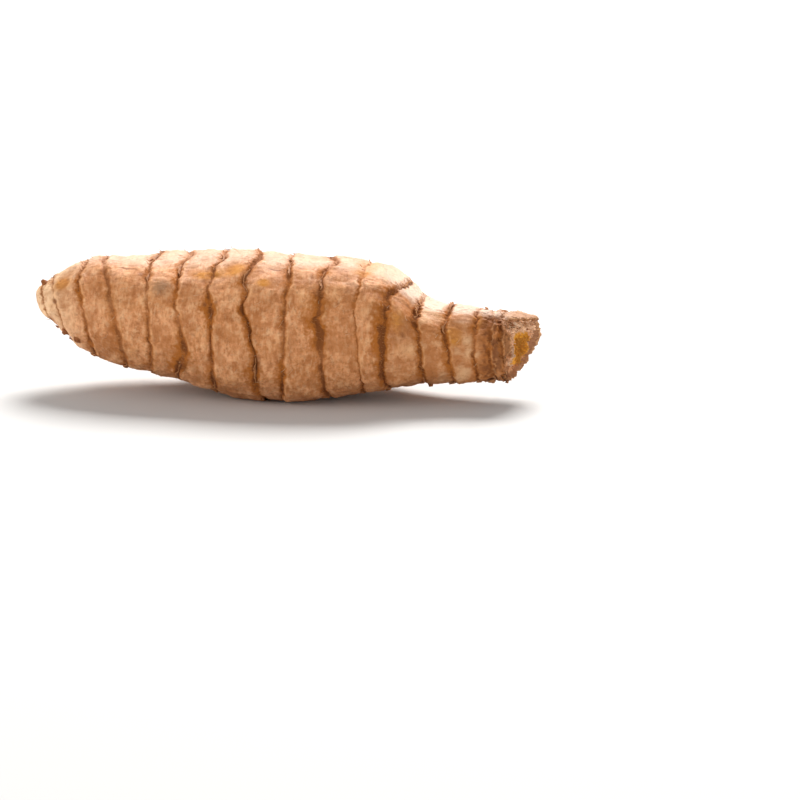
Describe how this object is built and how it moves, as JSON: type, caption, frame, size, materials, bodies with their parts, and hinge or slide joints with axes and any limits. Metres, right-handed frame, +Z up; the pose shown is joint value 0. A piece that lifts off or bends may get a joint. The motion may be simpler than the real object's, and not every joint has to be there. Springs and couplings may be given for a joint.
{
  "type": "turmeric root",
  "caption": "Fresh turmeric root: a plump ringed rhizome with a blunt growing tip, a sloping shoulder and a thin neck that ends in a broken fibrous stump.",
  "frame": {"origin": "on the surface it lies on, under the middle of its box", "axes": "+X along the root from the growing tip towards the broken stump, +Z up, -Y the side the picture shows"},
  "size_m": [0.0917, 0.0272, 0.0261],
  "materials": {
    "skin": "dry matt corky skin, tan with brown rings"
  },
  "bodies": {
    "root": {"turmeric_root": "skin"}
  },
  "joints": []
}
